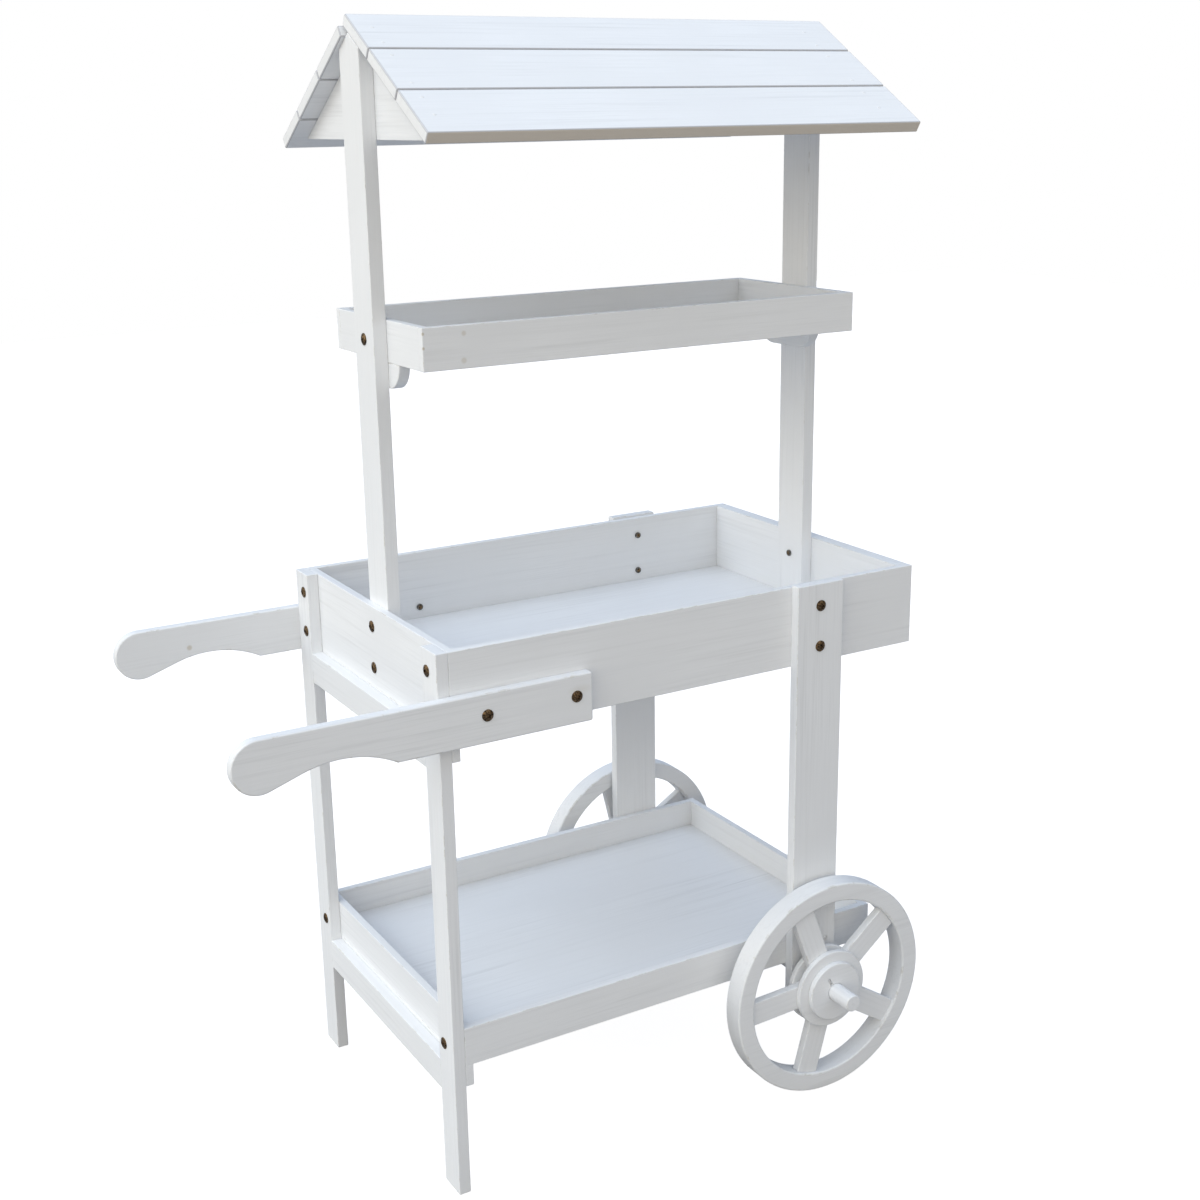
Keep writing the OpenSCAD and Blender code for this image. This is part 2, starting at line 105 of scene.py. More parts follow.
def roundEdges(bm, edges, width, segments=3):
    # rounds the edges and marks the new faces, where the paint is thin; on the roof planks the marked faces
    # carry painted shade along the joints
    mark = bm.faces.layers.float.get("paintEdge") or bm.faces.layers.float.new("paintEdge")
    made = bmesh.ops.bevel(bm, geom=edges, offset=width, offset_type="OFFSET", segments=segments,
                           profile=0.5, affect="EDGES", clamp_overlap=False)
    for face in made["faces"]:
        face[mark] = 1.0


def sharpEdges(bm, shortest=0.0, angle=35):
    found = []
    for edge in bm.edges:
        if len(edge.link_faces) == 2 and edge.calc_length() > shortest:
            if edge.calc_face_angle(0) > math.radians(angle):
                found.append(edge)
    return found


def meshOf(bm, name):
    mesh = bpy.data.meshes.new(name)
    bm.to_mesh(mesh)
    bm.free()
    return mesh


def islandsOf(node):
    # the separate solids of a CAD node, each as a list of points
    bm = bmesh.new()
    bm.from_mesh(nodes[node].data)
    bmesh.ops.remove_doubles(bm, verts=bm.verts, dist=meshLook["weld"])
    left, groups = set(bm.verts), []
    while left:
        stack, group = [left.pop()], []
        while stack:
            vert = stack.pop()
            group.append(vert.co.copy())
            for edge in vert.link_edges:
                other = edge.other_vert(vert)
                if other in left:
                    left.discard(other)
                    stack.append(other)
        groups.append(group)
    bm.free()
    return sorted(groups, key=lambda g: tuple(round(c, 4) for c in middleOf(g)))


def cornersOf(points):
    low = Vector(min(p[k] for p in points) for k in range(3))
    high = Vector(max(p[k] for p in points) for k in range(3))
    return low, high


def middleOf(points):
    low, high = cornersOf(points)
    return (low + high) / 2


def sizeOf(points):
    low, high = cornersOf(points)
    return high - low


# ---- materials ----

paintLook = {
    "colour": (0.845, 0.862, 0.885),      # brushed white, a little cool
    "shade": (0.70, 0.715, 0.735),        # thin stripes where the grain drinks the paint
    "thinPaintAndJointShade": (0.64, 0.63, 0.605),          # edges and dents, the primer shows; the roof's version of this colour is painted shade in the plank joints
    "knot": (0.60, 0.56, 0.49),           # resin coming through over a knot
    "roughness": 0.46,
    "grainAcross": 210.0,                 # grain lines in a metre, across the board
    "grainAlong": 5.0,
    "strokeAcross": 900.0,                # brush hairs
    "strokeAlong": 14.0,
    "bandAcross": 34.0,                   # wide bands with more or less grain
    "bandAlong": 2.2,
    "cloud": 7.0,                         # slow change of tone in a metre
    "speckle": 700.0,                     # orange peel
    "patch": 55.0,                        # rubbed patches on the arrises
    "knotAcross": 9.0,
    "knotAlong": 3.6,
    "cloudDark": 0.955,                   # tone of the darkest clouds
    "warm": (0.83, 0.83, 0.82),
    "warmMost": 0.16,                     # how warm the warmest board is
    "toneSpread": 37.0,                   # keeps two boards' patterns apart
    "specular": 0.38,
    "bumpDepth": 0.35 * mm,
    "bump": 0.55,
    "rubAndJointShade": (0.52, 0.66, 0.75),            # how much of an arris is rubbed: noise from, noise to, strength; on the roof it is nearly all of it, as painted shade
    "eaveShade": (0.69, 0.63, 0.55),           # painted shade on the eave planks' end faces, which face down and out
}

# the roof boards' arrises are dark all along: painted shade that draws a shadow line in each plank joint
roofJointShadeLook = {**paintLook, "thinPaintAndJointShade": (0.52, 0.53, 0.56), "rubAndJointShade": (0.15, 0.40, 0.95)}


def addNode(tree, kind, **settings):
    node = tree.nodes.new(kind)
    for name, value in settings.items():
        setattr(node, name, value)
    return node


def wire(tree, source, target):
    tree.links.new(source, target)


def stretch(tree, coords, across, along, grain):
    # a pattern that runs far along the grain and is tight across it
    mapping = addNode(tree, "ShaderNodeMapping")
    scale = [across, across, across]
    scale[grain] = along
    mapping.inputs["Scale"].default_value = scale
    wire(tree, coords, mapping.inputs["Vector"])
    return mapping.outputs["Vector"]


def noise(tree, coords, tone, detail=3.0, roughness=0.55, scale=1.0):
    found = addNode(tree, "ShaderNodeTexNoise", noise_dimensions="4D")
    found.inputs["Scale"].default_value = scale
    found.inputs["Detail"].default_value = detail
    found.inputs["Roughness"].default_value = roughness
    wire(tree, coords, found.inputs["Vector"])
    wire(tree, tone, found.inputs["W"])
    return found.outputs["Fac"]


def between(tree, value, low, high, toLow=0.0, toHigh=1.0):
    ranged = addNode(tree, "ShaderNodeMapRange", interpolation_type="SMOOTHSTEP")
    for name, number in (("From Min", low), ("From Max", high), ("To Min", toLow), ("To Max", toHigh)):
        ranged.inputs[name].default_value = number
    wire(tree, value, ranged.inputs["Value"])
    return ranged.outputs["Result"]


def calc(tree, operation, first, second):
    maths = addNode(tree, "ShaderNodeMath", operation=operation)
    for socket, value in zip(maths.inputs, (first, second)):
        if isinstance(value, (int, float)):
            socket.default_value = value
        else:
            wire(tree, value, socket)
    return maths.outputs["Value"]


def blendColour(tree, amount, first, second):
    mixer = addNode(tree, "ShaderNodeMix", data_type="RGBA")
    wire(tree, amount, mixer.inputs["Factor"])
    for name, value in (("A", first), ("B", second)):
        socket = [s for s in mixer.inputs if s.name == name and s.type == "RGBA"][0]
        if isinstance(value, tuple):
            socket.default_value = (*value, 1.0)
        else:
            wire(tree, value, socket)
    return [s for s in mixer.outputs if s.type == "RGBA"][0]


def newMaterial(name):
    material = bpy.data.materials.new(name)
    material.use_nodes = True
    return material, material.node_tree, material.node_tree.nodes["Principled BSDF"]


def makePaint(name, grain, marks=(), fromAttribute=False, look=paintLook):
    # white brushed paint over softwood; grain is the axis that the boards were sawn along
    material, tree, shader = newMaterial(name)
    if fromAttribute:
        coords = addNode(tree, "ShaderNodeAttribute", attribute_name="sawn").outputs["Vector"]
    else:
        coords = addNode(tree, "ShaderNodeTexCoord").outputs["Object"]
    toneNode = addNode(tree, "ShaderNodeAttribute", attribute_name="boardTone")
    tone = calc(tree, "MULTIPLY", toneNode.outputs["Fac"], look["toneSpread"])
    edge = addNode(tree, "ShaderNodeAttribute", attribute_name="paintEdge").outputs["Fac"]

    lines = noise(tree, stretch(tree, coords, look["grainAcross"], look["grainAlong"], grain), tone, 4.0)
    hairs = noise(tree, stretch(tree, coords, look["strokeAcross"], look["strokeAlong"], grain), tone, 2.0)
    bands = noise(tree, stretch(tree, coords, look["bandAcross"], look["bandAlong"], grain), tone, 2.0)
    cloud = noise(tree, coords, tone, 3.0, 0.5, look["cloud"])
    speckle = noise(tree, coords, tone, 2.0, 0.6, look["speckle"])

    # grain and brush marks, a few percent darker than the paint
    drunk = between(tree, lines, 0.44, 0.74, 0.0, 1.0)
    streak = calc(tree, "MULTIPLY", drunk, between(tree, bands, 0.36, 0.66, 0.25, 1.0))
    hair = between(tree, hairs, 0.48, 0.80, 0.0, 0.55)
    amount = calc(tree, "MAXIMUM", streak, hair)
    colour = blendColour(tree, amount, look["colour"], look["shade"])
    toned = between(tree, cloud, 0.30, 0.70, 0.0, 0.9)
    colour = blendColour(tree, toned, colour, tuple(look["cloudDark"] * c for c in look["colour"]))
    # a faint warmth that differs from board to board
    warm = calc(tree, "MULTIPLY", toneNode.outputs["Fac"], look["warmMost"])
    colour = blendColour(tree, warm, colour, look["warm"])

    # knots that bleed through, long along the grain
    spots = addNode(tree, "ShaderNodeTexVoronoi", voronoi_dimensions="4D", feature="F1")
    spots.inputs["Scale"].default_value = 1.0
    wire(tree, stretch(tree, coords, look["knotAcross"], look["knotAlong"], grain), spots.inputs["Vector"])
    wire(tree, tone, spots.inputs["W"])
    near = between(tree, spots.outputs["Distance"], 0.035, 0.095, 1.0, 0.0)
    knot = calc(tree, "MULTIPLY", near, between(tree, cloud, 0.48, 0.60, 0.0, 0.30))
    for place, radius, strength in marks:
        away = addNode(tree, "ShaderNodeVectorMath", operation="DISTANCE")
        away.inputs[1].default_value = place
        wire(tree, coords, away.inputs[0])
        spot = between(tree, away.outputs["Value"], radius * 0.35, radius, strength, 0.0)
        knot = calc(tree, "MAXIMUM", knot, spot)
    colour = blendColour(tree, knot, colour, look["knot"])

    # rubbed arrises; on the roof planks the same mix lays painted shade along every joint
    edgeFrom, edgeTo, edgeMost = look["rubAndJointShade"]
    patches = noise(tree, coords, tone, 4.0, 0.65, look["patch"])
    rubAndJointShade = calc(tree, "MULTIPLY", edge, between(tree, patches, edgeFrom, edgeTo, 0.0, edgeMost))
    colour = blendColour(tree, rubAndJointShade, colour, look["thinPaintAndJointShade"])
    # painted shade on the eave ends, whose faces point down and out
    bareEnd = addNode(tree, "ShaderNodeAttribute", attribute_name="bareEnd").outputs["Fac"]
    colour = blendColour(tree, bareEnd, colour, look["eaveShade"])
    wire(tree, colour, shader.inputs["Base Color"])

    rough = between(tree, hairs, 0.3, 0.8, look["roughness"] - 0.07, look["roughness"] + 0.12)
    wire(tree, calc(tree, "ADD", rough, calc(tree, "MULTIPLY", rubAndJointShade, 0.2)), shader.inputs["Roughness"])
    shader.inputs["Specular IOR Level"].default_value = look["specular"]

    height = calc(tree, "ADD", calc(tree, "MULTIPLY", lines, 0.55), calc(tree, "MULTIPLY", hairs, 0.30))
    height = calc(tree, "ADD", height, calc(tree, "MULTIPLY", speckle, 0.12))
    height = calc(tree, "SUBTRACT", height, calc(tree, "MULTIPLY", calc(tree, "MAXIMUM", knot, rubAndJointShade), 0.5))
    bump = addNode(tree, "ShaderNodeBump")
    bump.inputs["Strength"].default_value = look["bump"]
    bump.inputs["Distance"].default_value = look["bumpDepth"]
    wire(tree, height, bump.inputs["Height"])
    wire(tree, bump.outputs["Normal"], shader.inputs["Normal"])
    return material


metalLook = {
    "bronze": {"bright": (0.25, 0.165, 0.09), "dull": (0.05, 0.036, 0.026), "roughness": 0.38},
    "nut": {"bright": (0.26, 0.25, 0.23), "dull": (0.10, 0.10, 0.095), "roughness": 0.44},
    "painted": {"bright": (0.85, 0.862, 0.88), "dull": (0.79, 0.80, 0.81), "roughness": 0.50},
}

metalGrain = {"patina": 420.0, "fine": 2600.0, "bump": 0.25, "bumpDepth": 0.06 * mm}


def makeMetal(name, look, metallic):
    material, tree, shader = newMaterial(name)
    coords = addNode(tree, "ShaderNodeTexCoord").outputs["Object"]
    patina = addNode(tree, "ShaderNodeTexNoise")
    patina.inputs["Scale"].default_value = metalGrain["patina"]
    patina.inputs["Detail"].default_value = 4.0
    wire(tree, coords, patina.inputs["Vector"])
    fine = addNode(tree, "ShaderNodeTexNoise")
    fine.inputs["Scale"].default_value = metalGrain["fine"]
    wire(tree, coords, fine.inputs["Vector"])
    worn = between(tree, patina.outputs["Fac"], 0.36, 0.66)
    wire(tree, blendColour(tree, worn, look["dull"], look["bright"]), shader.inputs["Base Color"])
    rough = between(tree, patina.outputs["Fac"], 0.3, 0.7,
                    look["roughness"] + 0.16, look["roughness"] - 0.06)
    wire(tree, rough, shader.inputs["Roughness"])
    shader.inputs["Metallic"].default_value = metallic
    bump = addNode(tree, "ShaderNodeBump")
    bump.inputs["Strength"].default_value = metalGrain["bump"]
    bump.inputs["Distance"].default_value = metalGrain["bumpDepth"]
    wire(tree, fine.outputs["Fac"], bump.inputs["Height"])
    wire(tree, bump.outputs["Normal"], shader.inputs["Normal"])
    return material


paintAlongX = makePaint("paint_along_x", 0)
paintAlongY = makePaint("paint_along_y", 1)
paintAlongZ = makePaint("paint_along_z", 2)
paintSawn = makePaint("paint_sawn", 0, fromAttribute=True)
bronze = makeMetal("antique_bronze", metalLook["bronze"], 1.0)
nutSteel = makeMetal("nut_steel", metalLook["nut"], 1.0)
paintedHead = makeMetal("heads_under_paint", metalLook["painted"], 0.0)
print("materials made")


# ---- boards, from the CAD solids ----

boardCut = {
    "arris": 1.0 * mm,            # sanded edge of an ordinary board
    "plankArris": 1.7 * mm,       # the roof planks have eased edges, so that their joints show
    "holeEdge": 2.1 * mm,         # shorter edges belong to the bores and stay crisp
}

# each board and the paint that follows the axis it was sawn along
boards = {
    "leg_right": paintAlongZ, "leg_left": paintAlongZ,
    "leg_rail_upper": paintAlongY, "leg_rail_lower": paintAlongY,
    "main_tray_bearer": paintAlongY, "lower_tray_bearer": paintAlongY,
    "wheel_leg_right": paintAlongZ, "wheel_leg_left": paintAlongZ,
    "main_tray_side_right": paintAlongX, "main_tray_side_left": paintAlongX,
    "main_tray_end_handle": paintAlongY, "main_tray_end_wheel": paintAlongY,
    "main_tray_floor": paintAlongX,
    "lower_tray_side_right": paintAlongX, "lower_tray_side_left": paintAlongX,
    "lower_tray_end_handle": paintAlongY, "lower_tray_end_wheel": paintAlongY,
    "lower_tray_floor": paintAlongX,
    "shelf_side_left": paintAlongX,
    "shelf_end_handle": paintAlongY, "shelf_end_wheel": paintAlongY, "shelf_floor": paintAlongX,
    "post_handle": paintAlongZ, "post_wheel": paintAlongZ,
    "gable_board_handle": paintAlongY, "gable_board_wheel": paintAlongY,
}


def cadBoard(node, paint, arris, shadeSide=None):
    # the last argument is the direction of the end faces that get painted shade
    bm = bmesh.new()
    bm.from_mesh(nodes[node].data)
    bmesh.ops.remove_doubles(bm, verts=bm.verts, dist=meshLook["weld"])
    bmesh.ops.dissolve_limit(bm, angle_limit=math.radians(meshLook["flat"]),
                             verts=bm.verts, edges=bm.edges)
    roundEdges(bm, sharpEdges(bm, boardCut["holeEdge"]), arris)
    if shadeSide:
        eaveShade = bm.faces.layers.float.new("bareEnd")
        bm.normal_update()
        for face in bm.faces:
            face[eaveShade] = 1.0 if face.normal.dot(Vector(shadeSide)) > 0.8 else 0.0
    piece = linkObject("painted_" + node, meshOf(bm, "painted_" + node))
    return finishWood(piece, node, "frame", paint)


for node, paint in boards.items():
    cadBoard(node, paint, boardCut["arris"])
# the roof planks' paint darkens all their arrises: painted shade in the joints between planks
paintRoofJointShade = makePaint("paint_roof", 0, look=roofJointShadeLook)
for side, outward in (("right", -1), ("left", 1)):
    for row in ("ridge", "middle"):
        cadBoard(f"roof_plank_{side}_{row}", paintRoofJointShade, boardCut["plankArris"])
    # the eave planks' end faces, which point down and out, get painted shade
    cadBoard(f"roof_plank_{side}_eave", paintRoofJointShade, boardCut["plankArris"], (0, 0.87 * outward, -0.5))

# the shelf's near side shows two knots and the filled nails of its corner joint
shelfLow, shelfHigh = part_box("shelf_side_right")
shelfMarks = [
    ((shelfLow.x + 54 * mm, shelfLow.y, shelfHigh.z - 10 * mm), 4.2 * mm, 0.55),
    ((shelfLow.x + 53 * mm, shelfLow.y, shelfLow.z + 10 * mm), 5.0 * mm, 0.50),
    ((shelfLow.x + 1 * mm, shelfLow.y, shelfHigh.z - 7 * mm), 2.6 * mm, 0.95),
    ((shelfLow.x + 1 * mm, shelfLow.y, shelfHigh.z - 24 * mm), 2.6 * mm, 0.95),
]
cadBoard("shelf_side_right", makePaint("paint_shelf_knots", 0, shelfMarks), boardCut["arris"])
print("boards made:", len(boards) + 7)


# ---- cut-out pieces: handles and shelf brackets ----

def arcPoints(centre, radius, start, end, count):
    # points of an arc, angles in degrees, both ends included
    points = []
    for step in range(count + 1):
        angle = math.radians(start + (end - start) * step / count)
        points.append((centre[0] + radius * math.cos(angle), centre[1] + radius * math.sin(angle)))
    return points


def cutOut(name, outline, place, thickness, arris, holes=()):
    # saws an outline out of a board; place turns (u, v, depth) into a point of the frame
    bm = bmesh.new()
    loop = [bm.verts.new(place(u, v, 0.0)) for u, v in outline]
    back = [bm.verts.new(place(u, v, thickness)) for u, v in outline]
    bm.faces.new(loop)
    bm.faces.new(list(reversed(back)))
    count = len(loop)
    for k in range(count):
        bm.faces.new((loop[k], back[k], back[(k + 1) % count], loop[(k + 1) % count]))
    bmesh.ops.recalc_face_normals(bm, faces=bm.faces)
    roundEdges(bm, sharpEdges(bm), arris)
    piece = linkObject(name, meshOf(bm, name))
    for centre, radius, direction in holes:
        drillHole(piece, centre, radius, direction, thickness)
    return piece


def drillHole(piece, centre, radius, direction, depth):
    bm = bmesh.new()
    bmesh.ops.create_cone(bm, cap_ends=True, segments=28, radius1=radius, radius2=radius, depth=4 * depth)
    turn = Vector((0, 0, 1)).rotation_difference(Vector(direction)).to_matrix().to_4x4()
    bm.transform(Matrix.Translation(centre) @ turn)
    drill = linkObject("drill", meshOf(bm, "drill"))
    cut = piece.modifiers.new("drill", "BOOLEAN")
    cut.operation = "DIFFERENCE"
    cut.solver = "EXACT"
    cut.object = drill
    settle(piece)
    bpy.data.objects.remove(drill)


handleCut = {
    "grip": 33 * mm,              # radius of the rounded end
    "scoop": 143 * mm,            # radius of the finger scoop
    "scoopDepth": 19 * mm,
    "scoopIn": 127.5 * mm,        # from the grip's tip to the scoop's middle
    "boltHole": 3.1 * mm,
    "heel": 3 * mm,               # the grip hangs this much below the handle's lower edge
    "arris": 2.2 * mm,
}


def handleOutline(low, high):
    look = handleCut
    grip, scoop = look["grip"], look["scoop"]
    base = low.z + look["heel"]
    gripMid = Vector((low.x + grip, high.z - grip))
    scoopMid = Vector((low.x + look["scoopIn"], base + look["scoopDepth"] - scoop))
    # the straight run between the two circles touches both of them
    across = scoopMid - gripMid
    lean = math.degrees(math.acos((grip + scoop) / across.length))
    toward = math.degrees(math.atan2(across.y, across.x)) - lean
    points = [(high.x, high.z)]
    points += arcPoints(gripMid, grip, 90, 360 + toward, 30)
    cusp = math.degrees(math.asin((base - scoopMid.y) / scoop))
    points += arcPoints(scoopMid, scoop, 180 + toward, cusp, 26)
    points.append((high.x, base))
    return points


def makeHandle(node, paint):
    low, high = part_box(node)
    outer = low.y if low.y < 0 else high.y
    inward = 1 if low.y < 0 else -1
    wall = high.y - low.y
    bolts = [middleOf(group) for group in islandsOf("handle_bolts") if middleOf(group).y * outer > 0]
    holes = [((bolt.x, (low.y + high.y) / 2, bolt.z), handleCut["boltHole"], (0, 1, 0)) for bolt in bolts]
    piece = cutOut("painted_" + node, handleOutline(low, high),
                   lambda u, v, depth: Vector((u, outer + inward * depth, v)), wall,
                   handleCut["arris"], holes)
    return finishWood(piece, node, "frame", paint)


farLow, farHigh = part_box("handle_left")
farMarks = [((farLow.x + 100 * mm, farLow.y, farLow.z + 33 * mm), 5 * mm, 0.8)]
makeHandle("handle_right", paintAlongX)
makeHandle("handle_left", makePaint("paint_handle_knot", 0, farMarks))

bracketCut = {"arris": 1.4 * mm}


def makeBracket(node):
    low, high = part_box(node)
    radius = high.z - low.z
    points = arcPoints((high.y - radius, high.z), radius, 0, -90, 16)
    points += arcPoints((low.y + radius, high.z), radius, -90, -180, 16)
    piece = cutOut("painted_" + node, points, lambda u, v, depth: Vector((low.x + depth, u, v)),
                   high.x - low.x, bracketCut["arris"])
    return finishWood(piece, node, "frame", paintAlongY)


makeBracket("shelf_bracket_handle")
makeBracket("shelf_bracket_wheel")
print("handles and brackets made")


# ---- turned pieces: rims, hub discs, collars, axle ----

wheelCut = {
    "steps": 128,                 # facets round a turned piece
    "rimRound": 2.6 * mm,
    "discRound": 1.6 * mm,
    "axleRound": 1.8 * mm,
    "spokeWide": 34 * mm,
    "spokeIn": 23.6 * mm,         # inner end of a spoke, between the hub discs
    "spokeArris": 1.3 * mm,
    "arrisStep": 1.5 * mm,        # longer steps of a section are faces, not arrises
    "level": 0.001 * mm,
    "spacerRound": 0.8 * mm,
}
axleLow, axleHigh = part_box("axle")
axleMid = Vector(((axleLow.x + axleHigh.x) / 2, 0, (axleLow.z + axleHigh.z) / 2))


def radiiOf(node):
    # smallest and largest distance of a node's points from the axle
    far = [math.hypot(v.co.x - axleMid.x, v.co.z - axleMid.z) for v in nodes[node].data.vertices]
    return min(far), max(far)


def roundedSection(inner, outer, y0, y1, soft):
    # section of a ring as (radius, y), its corners rounded
    steps, section = 5, []
    corners = [(outer, y1, 0), (inner, y1, 90), (inner, y0, 180), (outer, y0, 270)]
    for radius, y, start in corners:
        inR = -1 if radius == outer else 1
        inY = -1 if y == y1 else 1
        for k in range(steps + 1):
            angle = math.radians(start + 90 * k / steps)
            section.append((radius + inR * soft + soft * math.cos(angle),
                            y + inY * soft + soft * math.sin(angle)))
    return section


def turned(name, section, closed=True):
    # spins a section round the axle line
    steps = wheelCut["steps"]
    bm = bmesh.new()
    mark = bm.faces.layers.float.new("paintEdge")
    rings = []
    for k in range(steps):
        angle = 2 * math.pi * k / steps
        rings.append([bm.verts.new((axleMid.x + r * math.cos(angle), y, axleMid.z + r * math.sin(angle)))
                      for r, y in section])
    count = len(section)
    for k in range(steps):
        here, there = rings[k], rings[(k + 1) % steps]
        for j in range(count if closed else count - 1):
            face = bm.faces.new((here[j], here[(j + 1) % count], there[(j + 1) % count], there[j]))
            run = Vector(section[(j + 1) % count]) - Vector(section[j])
            slanted = abs(run.x) > wheelCut["level"] and abs(run.y) > wheelCut["level"]
            face[mark] = 1.0 if run.length < wheelCut["arrisStep"] and slanted else 0.0
    bmesh.ops.remove_doubles(bm, verts=bm.verts, dist=meshLook["turnedWeld"])
    bmesh.ops.recalc_face_normals(bm, faces=bm.faces)
    return linkObject(name, meshOf(bm, name))


def makeRing(node, soft):
    # one ring for each solid of the node
    made = []
    for group in islandsOf(node):
        low = min(p.y for p in group)
        high = max(p.y for p in group)
        far = [math.hypot(p.x - axleMid.x, p.z - axleMid.z) for p in group]
        made.append(turned("painted_" + node, roundedSection(min(far), max(far), low, high, soft)))
    return made


def joinPieces(made, name):
    bm = bmesh.new()
    for piece in made:
        bm.from_mesh(piece.data)
        bpy.data.objects.remove(piece)
    return linkObject(name, meshOf(bm, name))


for side in ("right", "left"):
    body = "wheel_" + side
    rim = makeRing(f"{body}_rim", wheelCut["rimRound"])[0]
    finishWood(rim, f"{body}_rim", body, paintAlongX)
    for part in ("hub_front", "hub_back"):
        disc = makeRing(f"{body}_{part}", wheelCut["discRound"])[0]
        finishWood(disc, f"{body}_{part}", body, paintAlongX)

spacers = joinPieces(makeRing("axle_spacers", wheelCut["spacerRound"]), "painted_axle_spacers")
finishWood(spacers, "axle_spacers", "frame", paintAlongX)

# the collars have a pegging slot beside the axle, from the rod outward
collarSlot = {"lean": -30, "from": 13.5 * mm, "to": 24 * mm, "radius": 2.3 * mm, "depth": 5 * mm}


def cutSlot(collar):
    look = collarSlot
    outward = 1 if middleOf([v.co for v in collar.data.vertices]).y > 0 else -1
    outside = outward * max(abs(v.co.y) for v in collar.data.vertices)
    reach = outward * look["depth"]
    outline = arcPoints((look["from"], 0), look["radius"], 90, 270, 10)
    outline += arcPoints((look["to"], 0), look["radius"], -90, 90, 10)
    up = Matrix.Rotation(math.radians(90 - look["lean"]), 2)
    bm = bmesh.new()
    for y in (outside - reach, outside + reach):
        ring = []
        for u, v in outline:
            x, z = up @ Vector((u, v))
            ring.append(bm.verts.new((axleMid.x + x, y, axleMid.z + z)))
        bm.faces.new(ring)
    bm.verts.ensure_lookup_table()
    count = len(outline)
    for k in range(count):
        bm.faces.new((bm.verts[k], bm.verts[(k + 1) % count],
                      bm.verts[count + (k + 1) % count], bm.verts[count + k]))
    bmesh.ops.recalc_face_normals(bm, faces=bm.faces)
    chisel = linkObject("chisel", meshOf(bm, "chisel"))
    cut = collar.modifiers.new("slot", "BOOLEAN")
    cut.operation = "DIFFERENCE"
    cut.solver = "EXACT"
    cut.object = chisel
    settle(collar)
    bpy.data.objects.remove(chisel)
    return collar


collars = [cutSlot(collar) for collar in makeRing("axle_collars", wheelCut["discRound"])]
finishWood(joinPieces(collars, "painted_axle_collars"), "axle_collars", "frame", paintAlongX)


def makeAxle():
    radius = radiiOf("axle")[1]
    soft = wheelCut["axleRound"]
    section = [(0.0, axleLow.y)]
    section += arcPoints((radius - soft, axleLow.y + soft), soft, -90, 0, 6)
    section += arcPoints((radius - soft, axleHigh.y - soft), soft, 0, 90, 6)
    section.append((0.0, axleHigh.y))
    rod = turned("painted_axle", section, closed=False)
    return finishWood(rod, "axle", "frame", paintAlongY)


makeAxle()
print("turned pieces made")


# ---- geometry nodes: fasteners and spokes ----

def newTree(name, inputs):
    tree = bpy.data.node_groups.new(name, "GeometryNodeTree")
    tree.interface.new_socket(name="Geometry", in_out="INPUT", socket_type="NodeSocketGeometry")
    for title, (kind, default) in inputs.items():
        socket = tree.interface.new_socket(name=title, in_out="INPUT", socket_type="NodeSocket" + kind)
        if default is not None:
            socket.default_value = default
    tree.interface.new_socket(name="Geometry", in_out="OUTPUT", socket_type="NodeSocketGeometry")
    return tree, tree.nodes.new("NodeGroupInput"), tree.nodes.new("NodeGroupOutput")


def runTree(piece, tree, values):
    # sizes go in by the sockets' identifiers, then the result becomes a plain mesh
    modifier = piece.modifiers.new(tree.name, "NODES")
    modifier.node_group = tree
    for item in tree.interface.items_tree:
        if item.item_type == "SOCKET" and item.in_out == "INPUT" and item.name in values:
            modifier[item.identifier] = values[item.name]
    return settle(piece)


def sumOf(tree, operation, first, second):
    maths = tree.nodes.new("ShaderNodeMath")
    maths.operation = operation
    for socket, value in zip(maths.inputs, (first, second)):
        if isinstance(value, (int, float)):
            socket.default_value = value
        else:
            tree.links.new(value, socket)
    return maths.outputs["Value"]


def rodNode(tree, sides, radius, depth, middle):
    # a cylinder on the Z axis, moved to its middle
    rod = tree.nodes.new("GeometryNodeMeshCylinder")
    rod.inputs["Vertices"].default_value = sides
    tree.links.new(radius, rod.inputs["Radius"])
    tree.links.new(depth, rod.inputs["Depth"])
    place = tree.nodes.new("ShaderNodeCombineXYZ")
    tree.links.new(middle, place.inputs["Z"])
    move = tree.nodes.new("GeometryNodeTransform")
    tree.links.new(rod.outputs["Mesh"], move.inputs["Geometry"])
    tree.links.new(place.outputs["Vector"], move.inputs["Translation"])
    return move.outputs["Geometry"]


def cutNode(tree, operation, first, second):
    cut = tree.nodes.new("GeometryNodeMeshBoolean")
    cut.operation = operation
    if operation == "DIFFERENCE":
        tree.links.new(first, cut.inputs["Mesh 1"])
    else:
        tree.links.new(first, cut.inputs["Mesh 2"])
    tree.links.new(second, cut.inputs["Mesh 2"])
    return cut.outputs["Mesh"]


def closeTree(tree, instances, enter, leave):
    # crisp edges, realised, in its own material
    smooth = tree.nodes.new("GeometryNodeSetShadeSmooth")
    smooth.domain = "FACE"
    crisp = tree.nodes.new("GeometryNodeSetShadeSmooth")
    crisp.domain = "EDGE"
    crisp.inputs["Shade Smooth"].default_value = False
    angle = tree.nodes.new("GeometryNodeInputMeshEdgeAngle")
    steep = sumOf(tree, "GREATER_THAN", angle.outputs["Unsigned Angle"],
                  math.radians(meshLook["metalCrease"]))
    real = tree.nodes.new("GeometryNodeRealizeInstances")
    coat = tree.nodes.new("GeometryNodeSetMaterial")
    tree.links.new(instances, real.inputs["Geometry"])
    tree.links.new(real.outputs["Geometry"], smooth.inputs["Geometry"])
    tree.links.new(smooth.outputs["Geometry"], crisp.inputs["Geometry"])
    tree.links.new(steep, crisp.inputs["Selection"])
    tree.links.new(crisp.outputs["Geometry"], coat.inputs["Geometry"])
    tree.links.new(enter.outputs["Material"], coat.inputs["Material"])
    tree.links.new(coat.outputs["Geometry"], leave.inputs["Geometry"])


fastenerFacets = {"head": 40, "rings": 48, "shank": 24}


